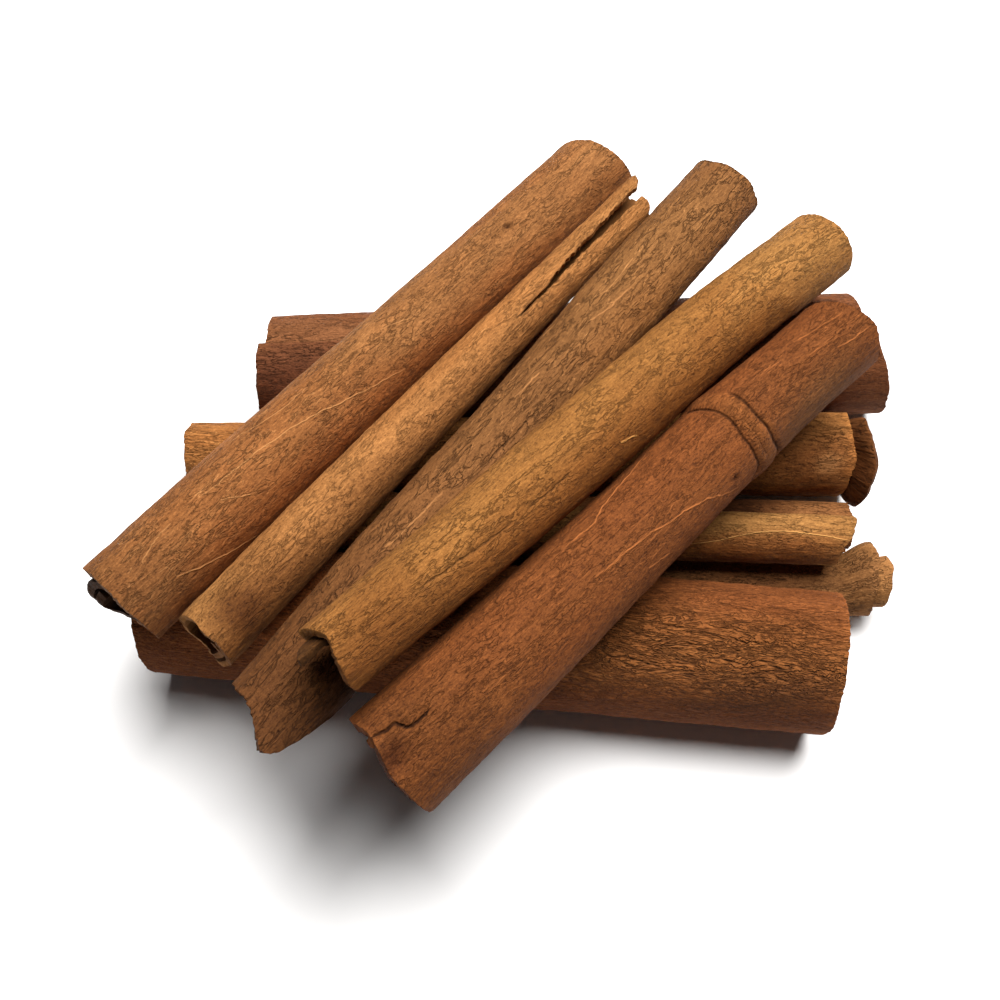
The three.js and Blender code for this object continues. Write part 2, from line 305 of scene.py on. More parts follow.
def rolled(stick, share, radius):  # where the strip's outside lies in the section
    if stick["turns"] > 0:
        turn = share * stick["turns"]
        whole = np.floor(turn)
        wraps = whole + smoothstep(turn - whole, 1 - roll["dipShare"], 1)
        angle = np.radians(stick["seam"] + stick["hand"] * 360 * turn)
        outer = radius - wraps * (stick["bark"] + roll["wrapGap"])
        return angle, turn, outer * np.cos(angle), outer * np.sin(angle)
    reach = doubleReach(share)
    bent = np.minimum(np.abs(reach), roll["shoulder"]) * np.sign(reach)
    curled = np.maximum(np.abs(reach) - roll["shoulder"], 0) / roll["curlTurn"]
    middle = np.radians(stick["seam"] + 180 + bent)
    angle = np.radians(stick["seam"] + 180 + reach)
    curlRadius = roll["curlShare"] * radius
    offset = np.where(curled > 0, radius - curlRadius, 0)
    outer = np.where(curled > 0, curlRadius * (1 - roll["curlTightening"] * curled), radius)
    return (angle, np.zeros_like(share), offset * np.cos(middle) + outer * np.cos(angle),
            offset * np.sin(middle) + outer * np.sin(angle))


def stripTable(stick):  # strip share, millimetres along its section, and share of the columns
    share = np.linspace(0, 1, roll["sectionSteps"])
    _, _, x, y = rolled(stick, share, np.full_like(share, np.mean(stick["radii"])))
    step = np.hypot(np.diff(x), np.diff(y))
    if stick["turns"] > 0:
        hidden = share[1:] * stick["turns"] > roll["hiddenTurn"]
    else:
        hidden = np.abs(doubleReach(share[1:])) > roll["shoulder"] + roll["hiddenPast"]
    weight = np.concatenate([[0], np.cumsum(step / np.where(hidden, roll["innerSpacing"], 1))])
    return share, np.concatenate([[0], np.cumsum(step)]), weight / weight[-1]


def arcOf(stick, angle):  # how far along the strip the outer turn passes a section angle
    share, arc, _ = stick["table"]
    if stick["turns"] > 0:
        at = stick["hand"] * (np.asarray(angle, float) - stick["seam"]) / 360 % 1 / stick["turns"]
    else:
        reach = (np.asarray(angle, float) - stick["seam"]) % 360 - 180
        at = 0.5 + reach / 2 / (roll["shoulder"] + roll["curlTurn"])
    return np.interp(at, share, arc)


def onOutside(stick, share, arc):  # true on the turn of bark that shows
    if stick["turns"] > 0:
        return arc < arcOf(stick, stick["seam"] - 0.01 * stick["hand"]) + 0.01
    return np.abs(doubleReach(share)) < roll["shoulder"]


def lineAt(stick, points, arc, along, wander=0.0):
    # distance to a line through [angle, millimetres along] points, signed, and the share along it
    spots = np.array([(arcOf(stick, angle), at) for angle, at in points])
    ends = np.linspace(0, 1, 10 * len(spots))
    u, v = smoothRun(spots[:, 0], ends), smoothRun(spots[:, 1], ends)
    u = u + wander * jitter(v * 1.7, u[0])
    best, side, where = np.full(arc.shape, 1e9), np.zeros(arc.shape), np.zeros(arc.shape)
    for k in range(len(u) - 1):
        du, dv = u[k + 1] - u[k], v[k + 1] - v[k]
        share = np.clip(((arc - u[k]) * du + (along - v[k]) * dv) / (du * du + dv * dv), 0, 1)
        offU, offV = arc - u[k] - share * du, along - v[k] - share * dv
        distance = np.hypot(offU, offV)
        nearer = distance < best
        best = np.where(nearer, distance, best)
        side = np.where(nearer, np.sign(offU * dv - offV * du), side)
        where = np.where(nearer, (k + share) / (len(u) - 1), where)
    return best, side * best, where


def openCrack(stick, arc, along):
    crack = stick["crack"]
    path = np.array([(arcOf(stick, angle), at, width) for angle, at, width in crack["path"]])
    at = np.clip(along, path[0, 1], None)
    centre = np.interp(at, path[:, 1], path[:, 0])
    width = np.interp(along, path[:, 1], path[:, 2], left=0)
    columns = np.unique(arc)
    inner = columns[columns > path[:, 0].mean()][0]
    outer = columns[columns <= path[:, 0].mean()][-1]
    middle = (inner + outer) / 2
    side = np.where(arc > middle, 1.0, -1.0)
    off = (np.abs(arc - middle) - (inner - outer) / 2) / crack["give"]
    near = np.exp(-off ** 2)
    reach = smoothstep(along, path[0, 1] - crack["runIn"], path[0, 1])
    torn = jitter(at * 2.2 + 3 * side, stick["seed"] + side)
    ragged = crack["ragged"] * torn * np.minimum(2 * width, 1)
    moved = arc + near * reach * (centre - middle + side * width / 2 + ragged)
    lift = near * np.where(side > 0, crack["lift"][0], crack["lift"][1]) * np.minimum(width, 1)
    opened = (np.abs(arc - middle) < (inner - outer)) & (width > 0.02)
    return moved, lift, opened


def fill(piece, name, values):  # a named number on every vertex
    made = piece.data.attributes.new(name=name, type="FLOAT", domain="POINT")
    made.data.foreach_set("value", np.ascontiguousarray(values, np.float32))


def apply(kind, **settings):  # adds a modifier to the active piece and applies it
    bpy.ops.object.modifier_add(type=kind)
    modifier = bpy.context.object.modifiers[-1]
    for key, value in settings.items():
        setattr(modifier, key, value)
    bpy.ops.object.modifier_apply(modifier=modifier.name)


def clouds(size):  # the uneven surface of dried bark
    made = bpy.data.textures.new("clouds", "CLOUDS")
    made.noise_scale = size
    made.noise_depth = 3
    return made


def stripSheet(stick):  # the flat strip, one square for each column and row
    bpy.ops.object.select_all(action="DESELECT")
    bpy.ops.mesh.primitive_grid_add(x_subdivisions=stick["columns"], y_subdivisions=stick["rows"],
                                    size=2, calc_uvs=True)
    piece = bpy.context.object
    piece.name = piece.data.name = stick["name"] + "_bark"
    return piece


def deleteOpened(mesh, opened):  # the faces that bridge a crack
    bpy.ops.object.mode_set(mode="EDIT")
    bpy.ops.mesh.select_mode(type="FACE")
    bpy.ops.mesh.select_all(action="DESELECT")
    bpy.ops.object.mode_set(mode="OBJECT")
    for face in mesh.polygons:
        face.select = all(opened[v] for v in face.vertices)
    bpy.ops.object.mode_set(mode="EDIT")
    bpy.ops.mesh.delete(type="FACE")
    bpy.ops.object.mode_set(mode="OBJECT")


def marksOn(stick, share, arc, along):
    # what is drawn on the bark: lines, dents, knots, colour washes (many of them painted shade, painted
    # shadows and painted highlights) and how rough it is
    outside = onOutside(stick, share, arc)
    drawn = {"press": np.zeros_like(arc),
             "rough": np.full(arc.shape, float(stick.get("rough", 1)))}
    # vein lines are pale marks in the bark; crack lines are painted shade along cracks and grooves
    for kind in ("vein", "crack"):
        strength, sides = np.zeros_like(arc), np.full(arc.shape, 1.0)
        for mark in stick.get(kind + "s", []):
            wander = mark.get("wander", 0.12)
            distance, side, where = lineAt(stick, mark["line"], arc, along, wander)
            taper = np.clip(6 * where * (1 - where), 0, 1) ** 0.5 if mark.get("taper", True) else 1
            here = mark.get("strength", 0.8) * taper * np.exp(-(distance / 0.8) ** 2)
            width = mark.get("width", 1)
            width = mix(width[0], width[1], where) if isinstance(width, tuple) else width
            sides = np.where(here > strength, side / width, sides)
            strength = np.maximum(here, strength)
            groove = np.exp(-(distance / mark.get("wide", 0.4)) ** 2)
            drawn["press"] -= mark.get("depth", 0) * taper * groove
        drawn[kind] = np.where(outside, strength, 0)
        drawn[kind + "Side"] = np.clip(sides, -1, 1)
    for mark in stick.get("knots", []):
        across = arc - arcOf(stick, mark["angle"])
        reach = np.hypot(across, (along - mark["at"]) / 1.25) / mark["size"]
        lip = 0.4 * np.exp(-((reach - 1) / 0.35) ** 2)
        drawn["press"] += mark["depth"] * (lip - np.exp(-(reach / 0.6) ** 2))
    wash = np.ones((len(arc), 4))
    knots = [{"angle": k["angle"], "at": k["at"], "across": 0.8 * k["size"], "long": k["size"],
              "tint": (0.3, 0.26, 0.22), "strength": k.get("dark", 0.9)} for k in stick.get("knots", [])]
    for mark in stick.get("washes", []) + knots:
        across = (arc - arcOf(stick, mark["angle"])) / mark["across"]
        reach = across ** 2 + ((along - mark["at"]) / mark["long"]) ** 2
        uneven = 1 + 0.25 * jitter(arc * 0.9 + along * 0.4, mark["at"])
        amount = mark.get("strength", 1) * np.exp(-(reach * uneven) ** mark.get("edge", 1.5))
        wash[:, :3] *= mix(1, np.array(mark["tint"]), amount[:, None])
        drawn["press"] -= mark.get("depth", 0) * np.exp(-reach)
        drawn["rough"] += mark.get("rougher", 0) * amount
    # the inner turns take the stick's innerTint; below 1 it is painted shade of the roll's hollow
    wash[~outside, :3] = stick.get("innerTint", (0.6, 0.55, 0.5))
    drawn["press"] = np.where(outside, drawn["press"], 0)
    drawn["wash"] = wash
    return drawn


def makeStick(stick):
    stick["table"] = stripTable(stick)
    tableShare, tableArc, tableWeight = stick["table"]
    piece = stripSheet(stick)
    mesh = piece.data
    flat = np.empty(len(mesh.vertices) * 3, np.float32)
    mesh.vertices.foreach_get("co", flat)
    flat = flat.reshape(-1, 3).astype(float)
    column = (flat[:, 0] + 1) / 2
    column = column if stick["hand"] > 0 else 1 - column
    t = (flat[:, 1] + 1) / 2
    share = np.interp(column, tableWeight, tableShare)
    arc = np.interp(share, tableShare, tableArc)

    onGround = len(stick["start"]) == 2
    start = Vector((*stick["start"], 0) if onGround else stick["start"])
    end = Vector((*stick["end"], 0) if onGround else stick["end"])
    length = (end - start).length
    forward = (end - start).normalized()
    left = Vector((0, 0, 1)).cross(forward).normalized()
    above = forward.cross(left)
    along = t * length
    radiusAt = smoothRun(stick["radii"], t)

    lift, opened = 0, None
    if "crack" in stick:
        arc, lift, opened = openCrack(stick, arc, along)
        share = np.interp(arc, tableArc, tableShare)

    angle, turn, _, _ = rolled(stick, share, radiusAt)
    flare = stick.get("flare", {"from": 1, "inner": 0, "radius": 0, "left": 0, "up": 0})
    flarePart = mix(1 - flare["inner"], flare["inner"],
                    smoothstep(turn, roll["flareFrom"], roll["flareFull"]))
    flared = smoothstep(t, flare["from"], 1.0001) * flarePart
    uneven = 1 + stick["waviness"] * waves(angle, t, stick["seed"])
    radius = radiusAt * uneven + flare["radius"] * flared
    if "ring" in stick:
        ring = stick["ring"]
        radius += ring["height"] * np.exp(-((t - ring["at"]) / ring["width"]) ** 2)

    drawn = marksOn(stick, share, arc, along)
    angle, turn, x, y = rolled(stick, share, radius + drawn["press"] + lift)

    wrapped = smoothstep(turn, roll["wrapFrom"], roll["wrapFull"])

    def endReach(cut, seed, tear):
        off = (angle - math.radians(tear["angle"]) + math.pi) % (2 * math.pi) - math.pi
        part = wrapped if tear.get("inner") else turn < 1
        torn = part * tear["length"] * np.exp(-(off / math.radians(tear["spread"])) ** 2)
        edge = (roll["chips"] * jitter(arc * roll["chipRate"], seed)
                + roll["splinters"] * jitter(arc * roll["splinterRate"], seed + 2))
        return (cut["lean"] * y + cut["swing"] * x + cut["ragged"] * teeth(angle, seed)
                + cut["shift"] * wrapped + torn + cut.get("torn", 1) * edge)

    whole = {"angle": 0, "spread": 40, "length": 0}
    before = endReach(stick["startCut"], stick["seed"], stick.get("tongue", whole))
    beyond = endReach(stick["endCut"], stick["seed"] + 4, whole)
    distance = mix(-before, length + beyond, t)
    sway = smoothRun(stick["sway"], t)
    world = (np.array(start) + np.outer(distance, forward)
             + np.outer(x + sway + flare["left"] * flared, left) + np.outer(y, above))
    if onGround:
        world[:, 2] += radiusAt - roll["restDepth"] + (flare["radius"] + flare["up"]) * flared
        world[:, 2] = np.maximum(world[:, 2], 0)
    mesh.vertices.foreach_set("co", (world * mm).astype(np.float32).ravel())

    corners = np.empty(len(mesh.loops), np.int32)
    mesh.loops.foreach_get("vertex_index", corners)
    strip = np.stack([arc, distance], 1)[corners] / 10  # centimetres
    mesh.uv_layers.active.name = "strip"
    mesh.uv_layers["strip"].data.foreach_set("uv", strip.astype(np.float32).ravel())
    fibres = mesh.uv_layers.new(name="fibres")
    fibres.data.foreach_set("uv", (strip * (1.0, 0.14)).astype(np.float32).ravel())
    for name in ("vein", "veinSide", "crack", "crackSide", "rough"):
        fill(piece, name, drawn[name])
    washed = mesh.attributes.new(name="wash", type="FLOAT_COLOR", domain="POINT")
    washed.data.foreach_set("color", drawn["wash"].astype(np.float32).ravel())
    mesh.update()
    if opened is not None:
        deleteOpened(mesh, opened)

    for material in (outerBark(stick), innerBark(stick), cutBark(stick)):
        mesh.materials.append(material)
    apply("SOLIDIFY", thickness=stick["bark"] * mm, offset=-1,
          material_offset=1, material_offset_rim=2)
    apply("BEVEL", width=roll["edgeRound"] * mm, segments=2, limit_method="ANGLE",
          angle_limit=math.radians(roll["bevelAngle"]))
    rise = stick.get("unevenness", 1)
    apply("DISPLACE", texture=clouds(roll["ridgeSize"]), texture_coords="UV", uv_layer="fibres",
          strength=rise * roll["ridgeDepth"] * mm, mid_level=roll["evenLevel"])
    apply("DISPLACE", texture=clouds(roll["lumpSize"]), texture_coords="UV", uv_layer="strip",
          strength=rise * roll["lumpDepth"] * mm, mid_level=roll["evenLevel"])
    if onGround:
        for vertex in mesh.vertices:
            vertex.co.z = max(vertex.co.z, 0)
    bpy.ops.object.shade_smooth_by_angle(angle=math.radians(roll["smoothAngle"]))
    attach(piece, "root")
    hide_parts(stick["name"])
    print("rolled", stick["name"], "with", len(mesh.polygons), "faces")


# In each stick, angles are seen from its end: 0 is its left side, 90 its top, 180 its right side.
# Marks are set by such an angle and millimetres along, and the rest is in millimetres.

frontThickStick = {
    "name": "front_thick_stick", "slot": "red_brown_bark",
    "start": (-43.03, -15.09), "end": (35.37, -22.54),
    "radii": (7.9, 8.05, 8.15, 8.25, 8.3), "sway": (0, 0),
    "bark": 1.5, "turns": 0, "seam": -25, "hand": 1, "columns": 200, "rows": 215,
    "startCut": {"lean": 0.1, "swing": 0, "ragged": 0.25, "shift": 0},
    "endCut": {"lean": 0.06, "swing": 0.03, "ragged": 0.2, "shift": 0},
    "waviness": 0.012, "seed": 1, "rough": 0.3, "unevenness": 1.3,
    "look": barkLook((112, 63, 30), crackle=0.9, drifting=0.4, grit=2.0, fibre=1.3, fineness=0.55,
                     creases=1.0),
    "washes": [{"angle": 118, "at": 62, "across": 6.0, "long": 24, "tint": (1.1, 1.28, 1.26),
                "rougher": 0.9},
               # painted shade: the next two washes darken the lower front side
               {"angle": 150, "at": 72, "across": 4, "long": 9, "tint": (0.7, 0.7, 0.75)},
               {"angle": 170, "at": 40, "across": 4, "long": 48, "tint": (0.75, 0.7, 0.68)},
               {"angle": 110, "at": 79.2, "across": 16, "long": 1.1, "tint": (1.4, 1.45, 1.5)}],
}
makeStick(frontThickStick)

backThickStick = {
    "name": "back_thick_stick", "slot": "red_brown_bark",
    "start": (-33.13, 18.91), "end": (45.07, 20.91),
    "radii": (7.15, 7.4, 7.7, 7.95, 8.05), "sway": (0, 0),
    "bark": 1.3, "turns": 2.35, "seam": 96, "hand": 1, "columns": 190, "rows": 200,
    "startCut": {"lean": 0, "swing": -0.1, "ragged": 0.2, "shift": -0.4},
    "endCut": {"lean": -0.12, "swing": -0.22, "ragged": 0.2, "shift": -0.5},
    "waviness": 0.012, "seed": 2, "innerTint": (1.0, 0.9, 0.85),
    "look": barkLook((104, 63, 37), drifting=0.7, creases=0.3),
    "washes": [{"angle": 150, "at": 4, "across": 6.5, "long": 12, "tint": (0.66, 0.6, 0.68)},
               {"angle": 72, "at": 5, "across": 4, "long": 14, "tint": (1.15, 1.3, 1.35)}],
}
makeStick(backThickStick)

backMiddleStick = {
    "name": "back_middle_stick", "slot": "ochre_bark",
    "start": (-42.53, 7.44), "end": (40.87, 6.99),
    "radii": (4.3, 4.55, 5.0, 5.3, 5.4), "sway": (0, 0),
    "bark": 0.8, "turns": 1.9, "seam": 265, "hand": -1, "columns": 170, "rows": 230,
    "flare": {"from": 0.975, "inner": 1, "radius": 1.5, "left": -2.0, "up": 0},
    "startCut": {"lean": 0, "swing": 0, "ragged": 0.2, "shift": -0.6},
    "endCut": {"lean": 0.1, "swing": 0, "ragged": 0.3, "shift": 1.6, "torn": 1.5},
    # innerTint here is painted shade on the dark inner roll
    "waviness": 0.015, "seed": 3, "innerTint": (0.42, 0.36, 0.36),
    "look": barkLook((140, 92, 48), creases=0.4),
    # painted shadow: the first wash darkens the stick near its right end, where the ringed stick's shadow
    # falls
    "washes": [{"angle": 135, "at": 79, "across": 4, "long": 6, "tint": (0.72, 0.64, 0.64)},
               {"angle": 133, "at": 80, "across": 1.3, "long": 1.6, "tint": (1.5, 1.8, 2.2)},
               {"angle": 110, "at": 83.5, "across": 12, "long": 1.0, "tint": (1.5, 1.5, 1.45)}],
}
makeStick(backMiddleStick)

middleThinStick = {
    "name": "middle_thin_stick", "slot": "grey_brown_bark",
    "start": (-37.23, -0.09), "end": (41.0, -2.55),
    "radii": (2.9, 3.1, 3.2, 3.3, 3.3), "sway": (0, 0),
    "bark": 0.85, "turns": 1.35, "seam": 230, "hand": 1, "columns": 100, "rows": 200,
    "startCut": {"lean": 0, "swing": 0, "ragged": 0.3, "shift": 0},
    "endCut": {"lean": 0, "swing": 0, "ragged": 0.3, "shift": 0},
    "waviness": 0.01, "seed": 4, "look": barkLook((126, 78, 42), creases=0.4),
    # painted shadow: the first wash is the ringed stick's shadow across this stick
    "washes": [{"angle": 60, "at": 62, "across": 8, "long": 8, "tint": (0.35, 0.32, 0.34)},
               {"angle": 90, "at": 76, "across": 9, "long": 7, "tint": (1.0, 1.12, 1.2)}],
}
makeStick(middleThinStick)

frontMiddleStick = {
    "name": "front_middle_stick", "slot": "grey_brown_bark",
    "start": (-34.73, -6.19), "end": (42.27, -11.09),
    "radii": (2.8, 3.0, 3.2, 3.4, 3.5), "sway": (0, 0),
    "bark": 0.85, "turns": 1.75, "seam": 200, "hand": -1, "columns": 130, "rows": 220,
    "flare": {"from": 0.94, "inner": 0.46, "radius": 1.94, "left": 1.3, "up": 1.2},
    "startCut": {"lean": 0, "swing": 0, "ragged": 0.3, "shift": 0},
    "endCut": {"lean": 0, "swing": 0, "ragged": 0.35, "shift": 2.1, "torn": 1.3},
    "waviness": 0.01, "seed": 5, "innerTint": (1.35, 1.4, 1.35),
    "look": barkLook((122, 82, 47), creases=0.4, drift=(0.8, 0.85, 0.75, 1)),
    # painted shade: the wash darkens the top where the stick lies in shade between its neighbours
    "washes": [{"angle": 90, "at": 62, "across": 9, "long": 10, "tint": (0.76, 0.68, 0.68)}],
}
makeStick(frontMiddleStick)

veinedThinStick = {
    "name": "veined_thin_stick", "slot": "ochre_bark",
    "start": (-40.13, -4.39, 9.2), "end": (38.3, -7.89, 10.4),
    "radii": (2.9, 3.0, 3.0, 3.05, 3.0), "sway": (0, 0),
    "bark": 0.8, "turns": 1.3, "seam": 250, "hand": -1, "columns": 120, "rows": 230,
    "startCut": {"lean": 0, "swing": 0, "ragged": 0.3, "shift": 0},
    "endCut": {"lean": 0.2, "swing": 0.35, "ragged": 0.3, "shift": 0, "torn": 1.4},
    "waviness": 0.01, "seed": 6, "look": barkLook((139, 97, 52), creases=0.35, wrinkles=0.3),
    "veins": [{"line": [(140, 58), (130, 62.6), (110, 66), (100, 69.6), (103, 73), (108, 75.4),
                        (118, 79)], "strength": 0.7, "width": 0.6, "wander": 0.05}],
    "washes": [{"angle": 155, "at": 70, "across": 2.9, "long": 11, "tint": (0.62, 0.48, 0.42),
                "edge": 3}],
}
makeStick(veinedThinStick)

crossingLeftStick = {
    "name": "crossing_left_stick", "slot": "grey_brown_bark",
    "start": (-43.03, -21.19, 22.2), "end": (9.57, 41.91, 19.0),
    "radii": (5.5, 5.4, 5.15, 5.05, 5.2), "sway": (0.1, 0.3, 0.3, 0.2, 0),
    "bark": 1.1, "turns": 2.3, "seam": 285, "hand": 1, "columns": 215, "rows": 220,
    "tongue": {"angle": 330, "spread": 60, "length": 1.7, "inner": True},
    "startCut": {"lean": 0.16, "swing": -0.04, "ragged": 0.12, "shift": 0},
    "endCut": {"lean": 0, "swing": -0.26, "ragged": 0.15, "shift": -0.5},
    # innerTint here is painted shade: the dark hollow inside the near end
    "waviness": 0.012, "seed": 7, "innerTint": (0.22, 0.2, 0.2), "rough": 0.8,
    "look": barkLook((126, 84, 47), drift=(0.92, 0.72, 0.58, 1), drifting=0.6),
    "knots": [{"angle": 94, "at": 64.2, "size": 0.62, "depth": 0.4},
              {"angle": 119, "at": 67.1, "size": 0.5, "depth": 0.16, "dark": 0.5}],
    "veins": [{"line": [(145, 40.8), (121, 32.6), (105, 27.2), (96, 21.1), (94, 17.5), (90, 13.3)],
               "strength": 0.6, "width": 0.7},
              {"line": [(100, 46.3), (82, 42.3)], "strength": 0.5, "width": 0.7},
              {"line": [(75, 31.7), (73, 26.6), (63, 23.2), (53, 19.8)], "strength": 0.5, "width": 0.7},
              {"line": [(129, 17.9), (108, 14.6)], "strength": 0.5, "width": 0.7},
              {"line": [(178, 15.5), (167, 12.4), (155, 9.4), (138, 5.7)], "strength": 0.6, "width": 0.8},
              {"line": [(89, 9.7), (93, 6.4), (102, 4.2)], "strength": 0.45, "width": 0.7}],
    # painted shade: darker along the right side, which faces the split stick, and at the near end
    "washes": [{"angle": 175, "at": 30, "across": 4, "long": 45, "tint": (0.85, 0.68, 0.58)},
               {"angle": 130, "at": 0, "across": 9, "long": 9, "tint": (0.72, 0.74, 0.76)}],
}
makeStick(crossingLeftStick)

crossingSplitStick = {
    "name": "crossing_split_stick", "slot": "ochre_bark",
    "start": (-33.71, -25.3, 21.5), "end": (14.0, 36.4, 20.7),
    "radii": (3.75, 3.6, 3.35, 2.93, 2.75), "sway": (0.17, 0.05, -0.28, -0.6, -1.1),
    "bark": 0.8, "turns": 1.4, "seam": 275, "hand": -1, "columns": 160, "rows": 260,
    "crack": {"path": [(112, 53, 0), (110, 56, 0.15), (112, 58.3, 0.3), (106, 61.4, 0.55),
                       (103, 65.8, 0.8), (104, 69.9, 1.05), (102, 74.5, 1.25), (103, 79, 1.4)],
              "give": 2.0, "runIn": 6, "ragged": 0.2, "lift": (0.35, -0.35)},
    "startCut": {"lean": -0.03, "swing": -0.03, "ragged": 0.2, "shift": 0},
    "endCut": {"lean": 0, "swing": 0.5, "ragged": 0.6, "shift": -0.6, "torn": 2},
    "waviness": 0.015, "seed": 8, "rough": 0.75,
    "look": barkLook((145, 98, 54), drift=(0.88, 0.78, 0.7, 1)),
    # the crack line paints the opened crack dark: painted shade in the gap, widening towards the far end
    "cracks": [{"line": [(112, 53), (110, 56), (112, 58.3), (106, 61.4), (103, 65.8), (104, 69.9),
                         (102, 74.5), (103, 80)],
                "strength": 0.95, "width": (0.8, 6.0), "wander": 0.1, "taper": False}],
    "washes": [{"angle": 70, "at": 2, "across": 3.5, "long": 5, "tint": (1.15, 1.25, 1.3)},
               {"angle": 120, "at": 4.3, "across": 3, "long": 2.5, "tint": (0.55, 0.48, 0.42)},
               # painted shade: the next two washes darken the right side and the near end
               {"angle": 165, "at": 26, "across": 3.4, "long": 40, "tint": (0.66, 0.6, 0.56)},
               {"angle": 125, "at": 3, "across": 5, "long": 13, "tint": (0.6, 0.55, 0.5)}],
}
makeStick(crossingSplitStick)

crossingRoughStick = {
    "name": "crossing_rough_stick", "slot": "grey_brown_bark",
    "start": (-23.93, -29.79, 22.2), "end": (25.37, 37.31, 20.5),
    "radii": (5.4, 5.0, 4.75, 5.2, 5.1), "sway": (-0.8, 0, -0.2, -0.35, -0.7),
    "bark": 1.0, "turns": 1.4, "seam": 235, "hand": 1, "columns": 190, "rows": 248,
    "tongue": {"angle": 132, "spread": 39, "length": 7.2},
    "startCut": {"lean": 0.73, "swing": 0.6, "ragged": 0.3, "shift": 0, "torn": 2.5},
    "endCut": {"lean": 0, "swing": 0, "ragged": 0.3, "shift": -0.4},
    "waviness": 0.02, "seed": 9, "rough": 1.1, "unevenness": 1.3,
    "look": barkLook((110, 71, 38), drift=(0.85, 0.9, 0.9, 1), drifting=0.6, hairs=0.6,
                     fineness=0.75),
    "cracks": [{"line": [(110, 34), (113, 37.3), (115, 40), (116, 44)],
                "strength": 0.5, "depth": 0.15},
               {"line": [(109, 24), (115, 28), (124, 31), (130, 33), (134, 36)], "strength": 0.7,
                "depth": 0.3, "wide": 0.35}],
    "veins": [{"line": [(80, 41.7), (85, 46.2)], "strength": 0.8},
              {"line": [(91, 54.9), (98, 58), (102, 62)], "strength": 0.6},
              {"line": [(86, 20), (92, 24), (95, 29)], "strength": 0.6}],
    # painted shade and painted shadow: darker at the near end, and on the right side of the flap where
    # the upper stick's shadow falls
    "washes": [{"angle": 120, "at": -2, "across": 14, "long": 20, "tint": (0.55, 0.5, 0.48)},
               {"angle": 185, "at": 4, "across": 4, "long": 9, "tint": (0.5, 0.45, 0.42)},
               {"angle": 100, "at": 66, "across": 12, "long": 16, "tint": (1.2, 1.25, 1.25)},
               {"angle": 150, "at": 58, "across": 4, "long": 9, "tint": (1.2, 1.15, 1.1)}],
}
makeStick(crossingRoughStick)

crossingUpperStick = {
    "name": "crossing_upper_stick", "slot": "ochre_bark",
    "start": (-19.93, -32.39, 32.1), "end": (37.17, 29.11, 19.6),
    "radii": (4.2, 4.65, 4.85, 4.85, 4.85), "sway": (0.1, -0.1, 0, 0.2, -0.6),
    "bark": 0.9, "turns": 1.5, "seam": 250, "hand": 1, "columns": 190, "rows": 250,
    "tongue": {"angle": 80, "spread": 66, "length": -6.1},
    "startCut": {"lean": 1.1, "swing": 0.1, "ragged": 0.35, "shift": -1.5, "torn": 1.5},
    "endCut": {"lean": 0, "swing": 0, "ragged": 0.15, "shift": -0.5},
    "waviness": 0.012, "seed": 10, "rough": 0.85,
    # innerTint here is painted shade: the dark hollow under the near end's lip
    "look": barkLook((128, 85, 41), drift=(0.95, 0.82, 0.7, 1)), "innerTint": (0.3, 0.28, 0.28),
    "cracks": [{"line": [(113, 10), (118, 14.9), (121, 18), (124, 20.6), (126, 24)], "strength": 0.5,
                "depth": 0.15},
               {"line": [(124, 26), (127, 29.1), (126, 33)], "strength": 0.4, "depth": 0.1}],
    "veins": [{"line": [(141, 40.2), (150, 42.9)], "strength": 0.9}],
    # painted shade: the next two washes darken the right side and the near end
    "washes": [{"angle": 160, "at": 38, "across": 4.5, "long": 40, "tint": (0.72, 0.58, 0.48)},
               {"angle": 135, "at": 4, "across": 7, "long": 8, "tint": (0.74, 0.66, 0.6)},
               {"angle": 85, "at": 78, "across": 9, "long": 12, "tint": (1.12, 1.28, 1.5)}],
}
makeStick(crossingUpperStick)

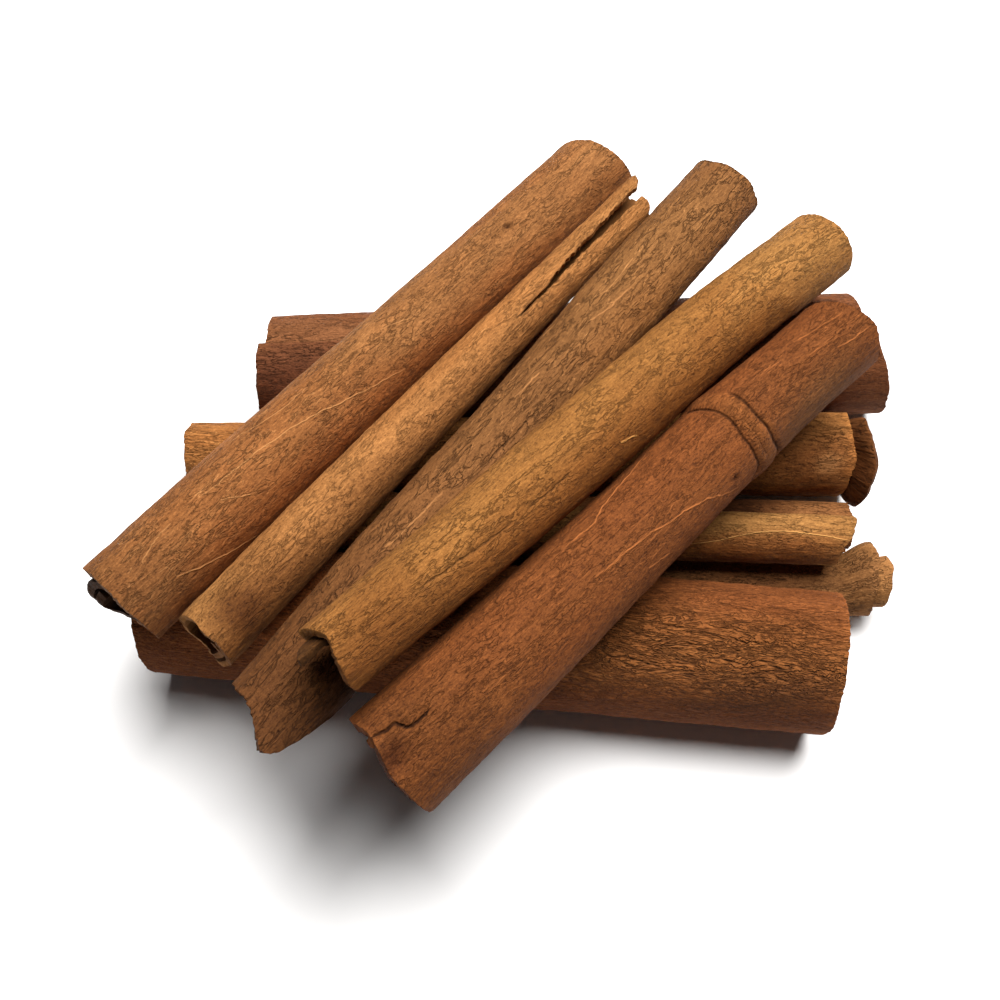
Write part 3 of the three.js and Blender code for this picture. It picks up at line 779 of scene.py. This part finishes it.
crossingRingedStick = {
    "name": "crossing_ringed_stick", "slot": "red_brown_bark",
    "start": (-13.33, -39.09, 24.2), "end": (37.97, 14.91, 20.2),
    "radii": (6.1, 5.98, 5.85, 5.68, 5.5, 5.45, 5.4, 5.15, 5.2), "sway": (0, -0.1, 0, 0.3, -0.3),
    "bark": 1.2, "turns": 0, "seam": 265, "hand": 1, "columns": 210, "rows": 222,
    "ring": {"at": 0.72, "width": 0.022, "height": 0.3},
    "tongue": {"angle": 74, "spread": 24, "length": -1.2},
    "startCut": {"lean": 0.38, "swing": -0.13, "ragged": 0.2, "shift": 0, "torn": 1.5},
    "endCut": {"lean": 0.1, "swing": -0.2, "ragged": 0.4, "shift": 0},
    "waviness": 0.015, "seed": 11, "rough": 0.7,
    "look": barkLook((105, 58, 26), drift=(0.75, 0.82, 0.85, 1), drifting=0.5, grit=1.9, hairs=0.5),
    "veins": [{"line": [(62, 27.4), (66, 31.5), (61, 33.4), (53, 36), (39, 44)]},
              {"line": [(112, 27.8), (118, 34.3), (127, 38.3), (139, 43.1), (170, 48.6)]},
              {"line": [(150, 33.3), (158, 36.7)], "strength": 0.6},
              {"line": [(71, 66), (80, 70), (86, 73.5)], "strength": 0.7},
              {"line": [(116, 68.5), (121, 71), (124, 74)], "strength": 0.7},
              {"line": [(99, 65), (104, 70)], "strength": 0.5}],
    # the ring's groove lines and the crack at the near end are painted dark: painted shade in the grooves
    "cracks": [{"line": [(30, 51), (38, 52), (92, 52.2), (124, 51.6), (165, 52.2), (190, 51)],
                "strength": 0.7, "width": 1.3, "depth": 0.3, "wide": 0.4},
               {"line": [(62, 55.5), (90, 55.2), (125, 54.7), (177, 55.7), (195, 55)],
                "strength": 0.8, "width": 1.6, "depth": 0.35, "wide": 0.4},
               {"line": [(100, 53.2), (135, 52.9), (165, 53.7)], "strength": 0.3, "depth": 0.1},
               {"line": [(74, 0.3), (78, 1.5), (78, 2.5), (85, 3.1), (91, 3.6), (93, 4.5), (93, 5.9)],
                "strength": 0.95, "depth": 0.3, "wide": 0.3, "taper": False, "wander": 0.05}],
    "knots": [{"angle": 150, "at": 48.4, "size": 0.5, "depth": 0.25}],
    "washes": [{"angle": 101, "at": 0.6, "across": 1.5, "long": 2.4, "tint": (0.5, 0.44, 0.42),
                "depth": 0.6},
               {"angle": 165, "at": 64, "across": 4.5, "long": 9, "tint": (0.75, 0.95, 1.15)},
               # painted shade: darker at the near end
               {"angle": 120, "at": 4, "across": 8, "long": 9, "tint": (0.8, 0.84, 0.84)},
               # painted highlight: the lighter band on the raised ring
               {"angle": 110, "at": 53.7, "across": 9, "long": 1.6, "tint": (1.2, 1.28, 1.28),
                "edge": 3}],
}
makeStick(crossingRingedStick)

studio = {
    "floorSize": 3.0, "floorColour": (0.9, 0.9, 0.91, 1), "floorRoughness": 0.9,
    "sky": (0.93, 0.96, 1.0, 1), "skyStrength": 0.04,
    "lampPlace": (0.095, 0.172, 0.53), "lampSize": 0.5, "lampPower": 9.1,
    "lampColour": (1.0, 0.985, 0.96), "aim": (0, 0, 0.01),
}

bpy.ops.object.select_all(action="DESELECT")
bpy.ops.mesh.primitive_plane_add(size=studio["floorSize"], location=(0, 0, 0))
floor = bpy.context.object
floor.name = "floor"
pale = bpy.data.materials.new("floor_paper")
pale.use_nodes = True
paper = pale.node_tree.nodes["Principled BSDF"].inputs
paper["Base Color"].default_value = studio["floorColour"]
paper["Roughness"].default_value = studio["floorRoughness"]
floor.data.materials.append(pale)

world = bpy.data.worlds.new("studio")
bpy.context.scene.world = world
world.use_nodes = True
sky = world.node_tree.nodes["Background"].inputs
sky["Color"].default_value = studio["sky"]
sky["Strength"].default_value = studio["skyStrength"]

bpy.ops.object.light_add(type="AREA", location=studio["lampPlace"])
lamp = bpy.context.object
lamp.name = "softbox"
lamp.data.shape = "DISK"
lamp.data.size = studio["lampSize"]
lamp.data.energy = studio["lampPower"]
lamp.data.color = studio["lampColour"]
toAim = Vector(studio["aim"]) - Vector(studio["lampPlace"])
lamp.rotation_euler = toAim.to_track_quat("-Z", "Y").to_euler()
bpy.context.scene.view_settings.view_transform = "Standard"
print("lit the floor")

view = {"target": (-2.73 * mm, -2.19 * mm, 10 * mm), "elevation": 62, "distance": 158.14 * mm,
        "lens": 46.8, "sensor": 36, "nearest": 0.01}
height = math.radians(view["elevation"])
bpy.ops.object.camera_add()
camera = bpy.context.object
camera.name = "camera"
camera.data.lens = view["lens"]
camera.data.sensor_width = view["sensor"]
camera.data.clip_start = view["nearest"]
away = Vector((0, -math.cos(height), math.sin(height)))
camera.location = Vector(view["target"]) + view["distance"] * away
camera.rotation_euler = (math.pi / 2 - height, 0, 0)
bpy.context.scene.camera = camera
print("set up the camera")
